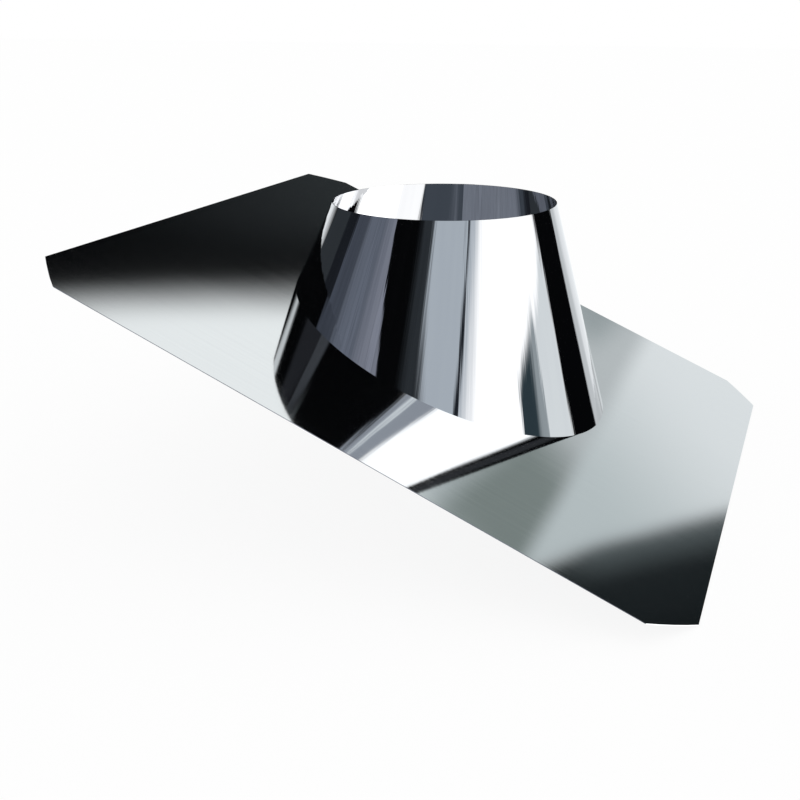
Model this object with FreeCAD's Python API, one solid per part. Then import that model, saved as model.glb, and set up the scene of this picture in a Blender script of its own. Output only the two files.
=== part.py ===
import FreeCAD, Part
import math
import os

# Pipe flashing boot for a sloping roof. A flat sheet plate lies on the roof, and a
# collar rolled from the same sheet rises from it round a vertical pipe.
#
# Frame, in millimetres: the pipe's axis is +Z, the roof falls towards +X, and +Y
# runs level along the roof. The origin is where the pipe's axis meets the plane
# of the plate's underside.

# Sheet
sheet = 0.6               # one gauge for the plate and the collar

# Roof
roof_pitch = 23.0         # degrees below the horizontal, towards +X

# Base plate, measured in the plane of the roof
plate_length = 620.0      # down the slope
plate_width = 610.0       # along the roof
plate_shift = 14.0        # its centre lies this far downhill of the pipe's axis
corner_cut = 38.0         # taken off both edges at each corner
corner_radius = 409.0     # the bow of each cut edge

# Collar
rim_diameter = 220.0      # outside, at the top
rim_height = 139.0        # the rim above the roof, along the pipe's axis
flare_downhill = 15.0     # degrees that the wall leans out from the vertical
flare_uphill = 25.0

# Lapped seam that closes the collar's strip
seam_bearing = 97.5       # degrees from downhill towards +Y, to the inner end
seam_lap = 12.0           # overlap of the strip's two ends
seam_joggle = 6.0         # length over which the outer end steps out

pitch = math.radians(roof_pitch)
bearing = math.radians(seam_bearing)
lean_down = math.tan(math.radians(flare_downhill))
lean_up = math.tan(math.radians(flare_uphill))
spread = (lean_down + lean_up) / 2    # growth of the collar's radius per fall
drift = (lean_down - lean_up) / 2     # shift of its centre per fall
wall = sheet * math.sqrt(1 + spread * spread)    # the sheet in a level cut


def vector(x, y, z):
    return FreeCAD.Vector(x, y, z)


def on_roof(shape):
    """Turn a shape drawn level, +X down the plate, into the roof's plane."""
    shape.rotate(vector(0, 0, 0), vector(0, 1, 0), roof_pitch)
    return shape


def foot_fall():
    """Fall from the rim to a level clear below the collar's lowest point."""
    reach = rim_diameter / 2 + lean_down * rim_height
    reach /= 1 - lean_down * math.tan(pitch)
    return rim_height + reach * math.tan(pitch) + 10 * sheet


def skin_ring(fall, grow, near, step, far):
    """Level cut through one skin of the collar, this far below the rim.

    It is a circle with one ledge in it. The sheet steps out in a straight ramp,
    near to far, and drops back square at the end of the ledge. near, step and far
    are distances along the sheet from the seam's bearing: where the ramp starts,
    where it is fully out, and where the ledge ends.
    """
    radius = rim_diameter / 2 + spread * fall + grow
    centre = vector(drift * fall, 0, rim_height - fall)

    def at(along, out):
        angle = bearing + along / radius
        reach = radius + out
        return centre + vector(reach * math.cos(angle), reach * math.sin(angle), 0)

    def arc(start, stop, out):
        middle = at((start + stop) / 2, out)
        return Part.Arc(at(start, out), middle, at(stop, out)).toShape()

    def line(start, stop):
        return Part.LineSegment(start, stop).toShape()

    girth = 2 * math.pi * radius
    edges = [arc(near, far + girth, 0), line(at(far, 0), at(far, wall))]
    if step != far:
        edges.append(arc(far, step, wall))
    edges.append(line(at(step, wall), at(near, 0)))
    return Part.Wire(edges)


def skin(grow, near, step, far):
    """Solid under one skin, from the rim to below the plate."""
    rings = [skin_ring(fall, grow, near, step, far) for fall in (0, foot_fall())]
    return Part.makeLoft(rings, True, True)


def passage():
    """The plain way through the collar, without the seam's ledge."""
    rings = []
    for fall in (0, foot_fall()):
        radius = rim_diameter / 2 + spread * fall - wall
        centre = vector(drift * fall, 0, rim_height - fall)
        rings.append(Part.Wire([Part.makeCircle(radius, centre, vector(0, 0, 1))]))
    return Part.makeLoft(rings, True, True)


def over_plate():
    """The space over the plate's top face, wider than the part."""
    size = 4 * (plate_length + plate_width + rim_height)
    corner = vector(-size / 2, -size / 2, sheet)
    return on_roof(Part.makeBox(size, size, size, corner))


def corner_edge(first, second, outward):
    """Bowed edge across a trimmed corner."""
    half_chord = first.distanceToPoint(second) / 2
    bow = corner_radius - math.sqrt(corner_radius ** 2 - half_chord ** 2)
    middle = (first + second) * 0.5 + outward * bow
    return Part.Arc(first, middle, second).toShape()


def plate_outline():
    """Rectangle round the plate's centre with its corners trimmed."""
    half_length = plate_length / 2
    half_width = plate_width / 2
    corners = []
    for x, y in ((1, -1), (1, 1), (-1, 1), (-1, -1)):
        centre = vector(plate_shift, 0, 0)
        level = centre + vector(x * (half_length - corner_cut), y * half_width, 0)
        steep = centre + vector(x * half_length, y * (half_width - corner_cut), 0)
        ends = (level, steep) if x * y < 0 else (steep, level)
        corners.append((ends[0], ends[1], vector(x, y, 0).normalize()))
    edges = []
    for i, (first, second, outward) in enumerate(corners):
        onward = corners[(i + 1) % 4][0]
        edges.append(corner_edge(first, second, outward))
        edges.append(Part.LineSegment(second, onward).toShape())
    return Part.Wire(edges)


def base_plate():
    """Flat plate whose hole carries on the collar's inner wall."""
    blank = Part.Face(plate_outline()).extrude(vector(0, 0, sheet))
    return on_roof(blank).cut(passage())


def collar():
    """Flared tube that stands on the plate, its strip lapped at the seam."""
    outer = skin(0, seam_joggle, 0, -seam_lap)
    inner = skin(-wall, seam_joggle, 0, 0)
    return outer.cut(inner).common(over_plate())


nodes = {
    "base_plate": base_plate(),
    "collar": collar(),
}

os.makedirs("parts", exist_ok=True)
for name, shape in nodes.items():
    if len(shape.Solids) != 1 or not shape.isValid():
        raise ValueError(name + " is not one sound solid")
    shape.Solids[0].exportStep("parts/" + name + ".step")
    print(name, round(shape.Volume), "mm3", shape.BoundBox)
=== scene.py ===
import math

import bmesh
import bpy
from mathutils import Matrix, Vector


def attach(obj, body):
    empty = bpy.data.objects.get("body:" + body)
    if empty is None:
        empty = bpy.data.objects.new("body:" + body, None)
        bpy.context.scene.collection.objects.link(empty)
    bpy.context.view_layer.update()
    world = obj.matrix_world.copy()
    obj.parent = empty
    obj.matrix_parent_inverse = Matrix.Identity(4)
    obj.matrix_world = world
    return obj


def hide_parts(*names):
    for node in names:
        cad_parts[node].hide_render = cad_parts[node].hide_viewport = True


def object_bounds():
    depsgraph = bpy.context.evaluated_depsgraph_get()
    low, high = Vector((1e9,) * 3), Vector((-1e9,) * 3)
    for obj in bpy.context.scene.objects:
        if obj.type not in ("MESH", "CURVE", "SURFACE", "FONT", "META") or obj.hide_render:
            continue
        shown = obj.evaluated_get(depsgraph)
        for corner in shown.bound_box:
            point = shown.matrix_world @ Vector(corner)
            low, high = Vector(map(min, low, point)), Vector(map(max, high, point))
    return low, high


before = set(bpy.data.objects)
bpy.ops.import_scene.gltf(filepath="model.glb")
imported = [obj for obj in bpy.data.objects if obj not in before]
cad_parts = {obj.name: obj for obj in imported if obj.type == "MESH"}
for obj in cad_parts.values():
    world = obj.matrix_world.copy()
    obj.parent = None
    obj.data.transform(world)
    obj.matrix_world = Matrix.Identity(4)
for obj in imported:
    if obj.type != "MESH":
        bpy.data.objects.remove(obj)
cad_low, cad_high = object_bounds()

# Metres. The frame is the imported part's own: the pipe's axis is +Z, the roof falls
# towards +X, and the origin is on the plate's underside.

SHEET = 0.0006
ROOF_PITCH = math.radians(23)
ROOF_NORMAL = Vector((math.sin(ROOF_PITCH), 0, math.cos(ROOF_PITCH)))

RIM_RADIUS = 0.110
RIM_HEIGHT = cad_high.z
LEAN_DOWNHILL = math.tan(math.radians(15))
LEAN_UPHILL = math.tan(math.radians(25))
SPREAD = (LEAN_DOWNHILL + LEAN_UPHILL) / 2    # growth of the collar's radius per fall
DRIFT = (LEAN_DOWNHILL - LEAN_UPHILL) / 2     # shift of its centre per fall
WALL = SHEET * math.sqrt(1 + SPREAD * SPREAD)

SEAM_BEARING = math.radians(97.5)             # from downhill towards +Y, inner end
SEAM_LAP = 0.012
SEAM_JOGGLE = 0.006


def srgb(code):
    """Linear colour of an sRGB hex code."""
    parts = [int(code[i:i + 2], 16) / 255 for i in (0, 2, 4)]
    linear = [c / 12.92 if c <= 0.04045 else ((c + 0.055) / 1.055) ** 2.4 for c in parts]
    return (*linear, 1.0)


def add(tree, kind, inputs=None, **settings):
    """A node with its settings; each input is a value or another node's socket."""
    node = tree.nodes.new(kind)
    for name, value in settings.items():
        setattr(node, name, value)
    for name, value in (inputs or {}).items():
        socket = node.inputs[name]
        if isinstance(value, bpy.types.NodeSocket):
            tree.links.new(value, socket)
        else:
            socket.default_value = value
    return node


# --- collar ---------------------------------------------------------------------

RING_SIDES = 720                          # half a degree each
SHARP = math.radians(25)                  # the sheet's edges and the lap's ledge

# The lap's corners round each skin: distance along the strip from the seam, and how
# many sheets the skin stands out there.
OUTER_LAP = ((-SEAM_LAP, 0), (-SEAM_LAP, 1), (0, 1), (SEAM_JOGGLE, 0))
INNER_LAP = ((-SEAM_LAP, 0), (0, 0), (0, 1), (SEAM_JOGGLE, 0))


def strip_point(station, fall, inset, lap):
    """Where one station round the strip lies, this far below the rim."""
    radius = RIM_RADIUS + SPREAD * fall
    if station < len(lap):
        along, sheets = lap[station]
    else:
        first, last = SEAM_JOGGLE, math.tau * radius - SEAM_LAP
        share = (station - len(lap) + 1) / (RING_SIDES - len(lap) + 1)
        along, sheets = first + (last - first) * share, 0
    angle = SEAM_BEARING + along / radius
    reach = radius - inset + sheets * WALL
    return Vector((DRIFT * fall + reach * math.cos(angle), reach * math.sin(angle),
                   RIM_HEIGHT - fall))


def lay_rim(ring, inset, lap):
    """Put each station on the level rim."""
    for station, vert in enumerate(ring):
        vert.co = strip_point(station, 0, inset, lap)


def lay_foot(ring, inset, lap):
    """Run each station's line down the wall until it meets the plate's top face."""
    fall = RIM_HEIGHT - cad_low.z
    for station, vert in enumerate(ring):
        top = strip_point(station, 0, inset, lap)
        line = strip_point(station, fall, inset, lap) - top
        vert.co = top + line * ((SHEET - top.dot(ROOF_NORMAL)) / line.dot(ROOF_NORMAL))


def in_turn(verts):
    """The points of a ring in order round the pipe's axis."""
    return sorted(verts, key=lambda vert: math.atan2(vert.co.y, vert.co.x))


def build_collar():
    """Flared tube of thin sheet, mitred by the plate, with its lapped seam."""
    skins = (
        (lay_foot, 0, OUTER_LAP),
        (lay_rim, 0, OUTER_LAP),
        (lay_rim, WALL, INNER_LAP),
        (lay_foot, WALL, INNER_LAP),
        (lay_foot, 0, OUTER_LAP),
    )
    bm = bmesh.new()
    bmesh.ops.create_circle(bm, segments=RING_SIDES, radius=RIM_RADIUS)
    edges = bm.edges[:]
    rings = [in_turn(bm.verts)]
    for _ in skins[1:]:
        drawn = bmesh.ops.extrude_edge_only(bm, edges=edges)["geom"]
        edges = [item for item in drawn
                 if isinstance(item, bmesh.types.BMEdge) and item.is_boundary]
        rings.append(in_turn([item for item in drawn if isinstance(item, bmesh.types.BMVert)]))
    for ring, (lay, inset, lap) in zip(rings, skins):
        lay(ring, inset, lap)
    # The last ring lies on the first, and joining them closes the sheet's skin.
    bmesh.ops.remove_doubles(bm, verts=rings[0] + rings[-1], dist=1e-7)
    bmesh.ops.recalc_face_normals(bm, faces=bm.faces[:])
    mesh = bpy.data.meshes.new("collar_sheet")
    bm.to_mesh(mesh)
    bm.free()
    mesh.shade_smooth()
    mesh.set_sharp_from_angle(angle=SHARP)
    piece = bpy.data.objects.new("collar_sheet", mesh)
    bpy.context.scene.collection.objects.link(piece)
    return piece


# --- finishes -------------------------------------------------------------------

# What the bending rolls leave on the cone: widths round the rim, and the heights over
# which a mark fades out along the wall.
WAVE_WIDTH = 0.070
FLAT_WIDTH = 0.008
FLAT_HEIGHT = 0.150
LINE_WIDTH = 0.0016
LINE_HEIGHT = 0.110
WAVE_DEPTH = 0.00012
FLAT_DEPTH = 0.00015
LINE_DEPTH = 0.00003

# What the mill leaves on the flat sheet.
MILL_WIDTH = 0.0012
MILL_LENGTH = 0.25
MILL_DEPTH = 0.000003
DIP_WIDTH = 0.18
DIP_DEPTH = 0.0004

FLOOR_GLOW = 0.88             # share of its own white that the eye sees in the floor

# Noise lies between these values almost everywhere.
NOISE_LOW = 0.3
NOISE_HIGH = 0.7


def new_material(name):
    """An empty node material and its tree."""
    material = bpy.data.materials.new(name)
    material.use_nodes = True
    material.node_tree.nodes.clear()
    return material, material.node_tree


def rolled_cone_stainless():
    """304 stainless, bright annealed, and drawn through bending rolls into the cone.

    The eye sees a near mirror. The rolls leave faint flats that run straight up the
    wall, so every reflected edge breaks into fine upright streaks.
    """
    material, tree = new_material("rolled_cone_stainless")
    place = add(tree, "ShaderNodeTexCoord").outputs["Object"]
    axes = add(tree, "ShaderNodeSeparateXYZ", {"Vector": place}).outputs
    # The same direction all the way up one straight line of the leaning cone.
    off_centre = add(tree, "ShaderNodeMath", {0: axes["Z"], 1: DRIFT, 2: -DRIFT * RIM_HEIGHT},
                     operation="MULTIPLY_ADD").outputs[0]
    across = add(tree, "ShaderNodeMath", {0: axes["X"], 1: off_centre},
                 operation="ADD").outputs[0]
    spoke = add(tree, "ShaderNodeCombineXYZ", {"X": across, "Y": axes["Y"]}).outputs[0]
    spoke = add(tree, "ShaderNodeVectorMath", {0: spoke}, operation="NORMALIZE").outputs[0]
    climb = add(tree, "ShaderNodeCombineXYZ", {"Z": axes["Z"]}).outputs[0]

    # Marks are spaced by direction from the axis, one unit of it being the rim's radius,
    # and drawn out up the wall by adding only a little of the height.
    flat_climb = (0, 0, FLAT_WIDTH / FLAT_HEIGHT / RIM_RADIUS)
    line_climb = (0, 0, LINE_WIDTH / LINE_HEIGHT / RIM_RADIUS)
    flat_place = add(tree, "ShaderNodeVectorMath", {0: climb, 1: flat_climb, 2: spoke},
                     operation="MULTIPLY_ADD").outputs[0]
    line_place = add(tree, "ShaderNodeVectorMath", {0: climb, 1: line_climb, 2: spoke},
                     operation="MULTIPLY_ADD").outputs[0]
    waves = add(tree, "ShaderNodeTexNoise",
                {"Vector": spoke, "Scale": RIM_RADIUS / WAVE_WIDTH, "Detail": 0.0}).outputs["Fac"]
    flats = add(tree, "ShaderNodeTexNoise",
                {"Vector": flat_place, "Scale": RIM_RADIUS / FLAT_WIDTH,
                 "Detail": 1.0}).outputs["Fac"]
    lines = add(tree, "ShaderNodeTexNoise",
                {"Vector": line_place, "Scale": RIM_RADIUS / LINE_WIDTH,
                 "Detail": 2.0}).outputs["Fac"]
    wave_bump = add(tree, "ShaderNodeBump",
                    {"Height": waves, "Strength": 1.0, "Distance": WAVE_DEPTH}).outputs[0]
    flat_bump = add(tree, "ShaderNodeBump",
                    {"Height": flats, "Strength": 1.0, "Distance": FLAT_DEPTH,
                     "Normal": wave_bump}).outputs[0]
    line_bump = add(tree, "ShaderNodeBump",
                    {"Height": lines, "Strength": 1.0, "Distance": LINE_DEPTH,
                     "Normal": flat_bump}).outputs[0]
    burnish = add(tree, "ShaderNodeMapRange",
                  {"Value": lines, "From Min": NOISE_LOW, "From Max": NOISE_HIGH,
                   "To Min": 0.015, "To Max": 0.035}).outputs[0]
    tone = add(tree, "ShaderNodeMix", {"Factor": flats, 6: srgb("c9cacd"), 7: srgb("d3d4d5")},
               data_type="RGBA").outputs[2]
    shader = add(tree, "ShaderNodeBsdfPrincipled",
                 {"Base Color": tone, "Metallic": 1.0, "Roughness": burnish,
                  "Normal": line_bump})
    add(tree, "ShaderNodeOutputMaterial", {"Surface": shader.outputs[0]})
    return material


def flat_sheet_stainless():
    """304 stainless sheet, bright annealed and left flat.

    The eye sees a slightly softer mirror than the cone. It dips and rises a little
    over a hand's width, and fine mill lines follow the length of the sheet.
    """
    material, tree = new_material("flat_sheet_stainless")
    place = add(tree, "ShaderNodeTexCoord").outputs["Object"]
    # The mill's lines run down the slope of the roof.
    along = add(tree, "ShaderNodeMapping",
                {"Vector": place, "Rotation": (0, ROOF_PITCH, 0),
                 "Scale": (MILL_LENGTH, MILL_WIDTH, MILL_LENGTH)},
                vector_type="TEXTURE").outputs[0]
    mill = add(tree, "ShaderNodeTexNoise",
               {"Vector": along, "Scale": 1.0, "Detail": 2.0}).outputs["Fac"]
    dips = add(tree, "ShaderNodeTexNoise",
               {"Vector": place, "Scale": 1 / DIP_WIDTH, "Detail": 0.0}).outputs["Fac"]
    dip_bump = add(tree, "ShaderNodeBump",
                   {"Height": dips, "Strength": 1.0, "Distance": DIP_DEPTH}).outputs[0]
    mill_bump = add(tree, "ShaderNodeBump",
                    {"Height": mill, "Strength": 1.0, "Distance": MILL_DEPTH,
                     "Normal": dip_bump}).outputs[0]
    burnish = add(tree, "ShaderNodeMapRange",
                  {"Value": mill, "From Min": NOISE_LOW, "From Max": NOISE_HIGH,
                   "To Min": 0.035, "To Max": 0.06}).outputs[0]
    tone = add(tree, "ShaderNodeMix", {"Factor": mill, 6: srgb("c9cbcc"), 7: srgb("d2d4d4")},
               data_type="RGBA").outputs[2]
    shader = add(tree, "ShaderNodeBsdfPrincipled",
                 {"Base Color": tone, "Metallic": 1.0, "Roughness": burnish,
                  "Normal": mill_bump})
    add(tree, "ShaderNodeOutputMaterial", {"Surface": shader.outputs[0]})
    return material


def white_studio_floor():
    """Smooth matt white card.

    The eye sees plain white with the part's faint shadow, and from below nothing.
    """
    material, tree = new_material("white_studio_floor")
    card = add(tree, "ShaderNodeBsdfDiffuse", {"Color": srgb("f8f8f8")}).outputs[0]
    glow = add(tree, "ShaderNodeEmission", {"Color": srgb("ffffff"), "Strength": 1.0}).outputs[0]
    sight = add(tree, "ShaderNodeLightPath").outputs["Is Camera Ray"]
    lift = add(tree, "ShaderNodeMath", {0: sight, 1: FLOOR_GLOW},
               operation="MULTIPLY").outputs[0]
    lit = add(tree, "ShaderNodeMixShader", {0: lift, 1: card, 2: glow}).outputs[0]
    open_side = add(tree, "ShaderNodeBsdfTransparent").outputs[0]
    below = add(tree, "ShaderNodeNewGeometry").outputs["Backfacing"]
    seen = add(tree, "ShaderNodeMixShader", {0: below, 1: lit, 2: open_side}).outputs[0]
    add(tree, "ShaderNodeOutputMaterial", {"Surface": seen})
    return material


def dress(obj, material):
    """Give the whole object one finish."""
    obj.data.materials.clear()
    obj.data.materials.append(material)


# --- studio ---------------------------------------------------------------------

FIRST_BEARING = -90
DARK_STUDIO = "08090b"        # what steel mirrors where no panel hangs
CLOTH_FOLDS = 0.35            # widest folds per degree of bearing
CLOTH_START = 165             # bearings where the cloth begins and where it is full
CLOTH_FULL = 190
FLOOR_HALF = 12
FLOOR_GAP = 0.001             # between the floor and the part's lowest point
CAMERA_PLACE = (0.35336, -1.05746, 0.32243)
CAMERA_DIP = 19.346           # degrees below the horizon
CAMERA_TURN = 20.71           # degrees from +Y towards -X
LENS = 50.93                  # millimetres, as is the sensor
SENSOR = 36

# Panels round the part, each laid over the ones before it. Bearings are degrees from
# +Y towards +X, from -90 to 270; heights are degrees above the horizon. The low and
# high edges are (bearing at the horizon, lean, softness) and the bottom and top are
# (height, softness). An edge leans by so many degrees of bearing per degree of height,
# and softness is half the width of its fade. Steel gives back about 0.64 of what it
# mirrors, so strength 1.6 shows a colour as it is written after one bounce, and 2.6
# shows it so after two.
PANELS = (
    # name, low edge, high edge, bottom, top, colour, strength
    ("pale table", (-63, 0, 1.5), (27.5, 0, 1.5), (-90, 1), (4, 3), "cfd2d4", 1.6),
    ("table near edge", (-63, 0, 1.5), (27.5, 0, 1.5), (-91, 1), (-28, 12), "8f959a", 1.6),
    ("table far end", (18, 0, 3), (27.5, 0, 1.5), (-90, 1), (4, 3), "b2b6b8", 1.6),
    ("sweep behind", (25.2, -1.158, 2.3), (23.4, -0.39, 0.8), (-5, 3), (60, 6), "e2e5e6", 1.6),
    ("sweep right", (2, 0, 3), (23.4, -0.39, 0.8), (5, 4), (24, 4), "d1d5d7", 1.6),
    ("sweep grey", (2, 0, 3), (23.4, -0.39, 0.8), (20, 4), (31, 2), "b1b9bb", 1.6),
    ("sweep dim", (-4, 0, 1.5), (-2.2, 0.5, 0.8), (12, 3), (25, 2), "adb2b4", 1.6),
    ("sweep end", (-4, 0, 1.5), (4.8, 0, 1), (12, 3), (18.8, 0.8), "8e9698", 1.6),
    ("sweep shade", (6.2, 0, 1.4), (-2.2, 0.5, 0.8), (23.5, 1.5), (31, 3), "747d7b", 1.6),
    ("card back", (23.4, -0.39, 0.8), (28.5, -0.36, 3), (12, 3), (33, 3), "1d2224", 1.3),
    ("card edge", (23.2, -0.39, 0.8), (24.5, -0.39, 1.1), (12, 3), (26, 1.5), "50585a", 1.2),
    ("far corner", (-40, 0, 5), (20.7, -1.158, 3), (10, 3), (27, 7), "303436", 1.2),
    ("card top", (5, 0, 2), (21, 0, 2), (32.5, 1.5), (37, 2), "868a8d", 1.2),
    ("card top far", (28.5, 0, 2), (41.5, 0, 1.5), (30, 2), (41, 2), "3c3e42", 1.0),
    ("high card", (-40.5, 0, 4), (0, 0, 6), (40, 3), (56, 5), "d8dcde", 1.5),
    ("ceiling", (-95, 0, 1), (275, 0, 1), (77, 2), (95, 1), "a8aeb2", 1.3),
    ("ceiling west", (-95, 0, 1), (-20, 0, 8), (67.5, 2.5), (80, 1), "8e9498", 1.2),
    ("ceiling south", (254, 0, 6), (275, 0, 1), (68.5, 2), (80, 1), "8e9498", 1.2),
    ("roof gap near", (-91, 0, 1), (-64, 0, 5), (48, 3), (64, 3), "323439", 1.0),
    ("roof gap far", (256, 0, 3), (271, 0, 1), (56, 3), (66.5, 1.5), "565a60", 1.0),
    ("grey wall", (110, 0, 4), (151.1, 0.87, 5), (-30, 3), (52, 4), "a2aab2", 1.6),
    ("key underside", (58.4, 0.27, 3), (124, 0, 5), (-90, 1), (-17, 3), "a9afb3", 1.6),
    ("key softbox", (58.4, 0.27, 1.5), (152.6, -1.2, 8.5), (-20, 3), (30.5, 2), "ffffff", 1.65),
    ("key lower half", (58.4, 0.27, 3), (124, 0, 5), (-90, 1), (-37, 2), "ffffff", 2.6),
    ("key foot", (100, 0, 5), (134, 0, 2.5), (-90, 1), (-32, 3), "ffffff", 1.55),
    ("key band", (49, 0, 3), (128, 0, 4), (29, 2), (62, 4), "9aa1a6", 1.1),
    ("key top", (49.5, 0, 3), (-68, 3.45, 7), (36, 2), (63, 2), "ffffff", 2.6),
    ("key skirt", (58.4, 0.27, 1.5), (79, 0, 1), (-12, 4), (7.5, 0.7), "cfd4d6", 1.6),
    ("stand lit side", (78.5, 0, 0.7), (97.5, 0, 1), (-20, 4), (8.6, 1), "8a9296", 1.6),
    ("stand", (85, 0, 3.5), (97.5, 0, 1), (-20, 4), (8.6, 1), "2a363c", 1.6),
    ("wall tail", (170, 0, 4), (181, 0, 5), (-30, 3), (52, 4), "282c30", 1.6),
    ("dark slit", (153.8, -0.9, 1.5), (157.8, -0.9, 1.3), (-20, 3), (40, 3), "1c2026", 1.5),
    ("wall head", (115, 0, 2), (141, 0, 3), (57, 2), (72, 3), "a4aab4", 1.6),
    ("wall head streak", (194.5, -1, 1.5), (199.5, -1, 1.5), (57, 2), (72, 3), "e0e6ea", 1.8),
    ("violet wall near", (168.8, 1.6, 0.7), (222, 0, 6), (-30, 3), (40, 6), "747884", 1.6),
    ("violet wall far", (219, 0, 8), (243, 0, 6), (-30, 3), (40, 6), "5c626e", 1.6),
    ("violet wall end", (243, 0, 3), (259, 0, 2), (-30, 3), (40, 6), "3e434d", 1.6),
    ("dark corner", (-91, 0, 1), (-63, 0, 1.5), (-90, 1), (20, 4), "2c3034", 1.5),
    ("dark corner end", (259, 0, 2), (271, 0, 1), (-90, 1), (20, 4), "1a1d22", 1.5),
    ("low wall", (136.5, 0, 2.5), (262, 0, 4), (-90, 1), (-30, 3), "3c424a", 1.6),
    ("low wall lit", (182, 0, 12), (254, 0, 5), (-90, 1), (-30, 3), "6a6f79", 1.6),
)


def rising(tree, value, place, softness):
    """0 below a place and 1 above it; a negative softness turns it round."""
    return add(tree, "ShaderNodeMapRange",
               {"Value": value, "From Min": place - softness, "From Max": place + softness},
               interpolation_type="SMOOTHSTEP").outputs[0]


def upright(tree, bearing, elevation, lean):
    """Bearing as a leaning edge counts it: where it would be at the horizon."""
    if lean == 0:
        return bearing
    return add(tree, "ShaderNodeMath", {0: elevation, 1: -lean, 2: bearing},
               operation="MULTIPLY_ADD").outputs[0]


def heading(tree):
    """Bearing and height, in degrees, of the direction that a ray looks in."""
    ray = add(tree, "ShaderNodeTexCoord").outputs["Generated"]
    axes = add(tree, "ShaderNodeSeparateXYZ", {"Vector": ray}).outputs
    turn = add(tree, "ShaderNodeMath", {0: axes["X"], 1: axes["Y"]},
               operation="ARCTAN2").outputs[0]
    bearing = add(tree, "ShaderNodeMath", {0: turn, 1: 180 / math.pi},
                  operation="MULTIPLY").outputs[0]
    bearing = add(tree, "ShaderNodeMath", {0: bearing, 1: FIRST_BEARING,
                                           2: FIRST_BEARING + 360},
                  operation="WRAP").outputs[0]
    rise = add(tree, "ShaderNodeMath", {0: axes["Z"]}, operation="ARCSINE").outputs[0]
    elevation = add(tree, "ShaderNodeMath", {0: rise, 1: 180 / math.pi},
                    operation="MULTIPLY").outputs[0]
    return bearing, elevation


def hang_panels(tree, bearing, elevation):
    """Light of the dark studio with all its panels, as the steel mirrors it."""
    light = add(tree, "ShaderNodeRGB").outputs[0]
    light.default_value = srgb(DARK_STUDIO)
    for _, low, high, bottom, top, colour, strength in PANELS:
        edges = (
            rising(tree, upright(tree, bearing, elevation, low[1]), low[0], low[2]),
            rising(tree, upright(tree, bearing, elevation, high[1]), high[0], -high[2]),
            rising(tree, elevation, bottom[0], bottom[1]),
            rising(tree, elevation, top[0], -top[1]),
        )
        shape = edges[0]
        for edge in edges[1:]:
            shape = add(tree, "ShaderNodeMath", {0: shape, 1: edge},
                        operation="MULTIPLY").outputs[0]
        tint = [c * strength for c in srgb(colour)[:3]] + [1.0]
        light = add(tree, "ShaderNodeMix", {"Factor": shape, 6: light, 7: tint},
                    data_type="RGBA").outputs[2]
    return light


def fold_cloth(tree, bearing):
    """Factor on the light: the far walls are hung cloth, uneven from fold to fold."""
    folds = add(tree, "ShaderNodeTexNoise",
                {"W": bearing, "Scale": CLOTH_FOLDS, "Detail": 3.0, "Roughness": 0.65},
                noise_dimensions="1D").outputs["Fac"]
    shade = add(tree, "ShaderNodeMapRange",
                {"Value": folds, "From Min": NOISE_LOW, "From Max": NOISE_HIGH,
                 "To Min": 0.8, "To Max": 1.15}).outputs[0]
    hung = add(tree, "ShaderNodeMapRange",
               {"Value": bearing, "From Min": CLOTH_START, "From Max": CLOTH_FULL}).outputs[0]
    return add(tree, "ShaderNodeMix", {"Factor": hung, "A": 1.0, "B": shade}).outputs[0]


def light_studio():
    """White surroundings to the eye; soft panels and dark gaps to the polished steel."""
    world = bpy.data.worlds.new("studio")
    bpy.context.scene.world = world
    world.use_nodes = True
    tree = world.node_tree
    tree.nodes.clear()
    bearing, elevation = heading(tree)
    light = add(tree, "ShaderNodeVectorMath",
                {0: hang_panels(tree, bearing, elevation), "Scale": fold_cloth(tree, bearing)},
                operation="SCALE").outputs[0]
    # Only a mirrored ray meets the panels; the eye and matt surfaces get plain white.
    mirrored = add(tree, "ShaderNodeLightPath").outputs["Is Glossy Ray"]
    plain = add(tree, "ShaderNodeBackground",
                {"Color": srgb("ffffff"), "Strength": 1.0}).outputs[0]
    panels = add(tree, "ShaderNodeBackground", {"Color": light, "Strength": 1.0}).outputs[0]
    seen = add(tree, "ShaderNodeMixShader", {0: mirrored, 1: plain, 2: panels}).outputs[0]
    add(tree, "ShaderNodeOutputWorld", {"Surface": seen})


def lay_floor():
    """Plain white floor just under the part. The steel mirrors the studio, not it."""
    bm = bmesh.new()
    bmesh.ops.create_grid(bm, x_segments=1, y_segments=1, size=FLOOR_HALF)
    bmesh.ops.translate(bm, verts=bm.verts[:], vec=(0, 0, cad_low.z - FLOOR_GAP))
    mesh = bpy.data.meshes.new("studio_floor")
    bm.to_mesh(mesh)
    bm.free()
    floor = bpy.data.objects.new("studio_floor", mesh)
    bpy.context.scene.collection.objects.link(floor)
    floor.visible_glossy = False
    return floor


def place_camera():
    """Look down at the part from its side, a little from downhill."""
    data = bpy.data.cameras.new("camera")
    data.lens = LENS
    data.sensor_width = SENSOR
    camera = bpy.data.objects.new("camera", data)
    camera.location = CAMERA_PLACE
    camera.rotation_euler = (math.radians(90 - CAMERA_DIP), 0, math.radians(CAMERA_TURN))
    bpy.context.scene.collection.objects.link(camera)
    bpy.context.scene.camera = camera


place_camera()
light_studio()

collar = build_collar()
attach(collar, "root")
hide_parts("collar")
dress(collar, rolled_cone_stainless())
dress(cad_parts["base_plate"], flat_sheet_stainless())
dress(lay_floor(), white_studio_floor())

bpy.context.scene.view_settings.view_transform = "Standard"
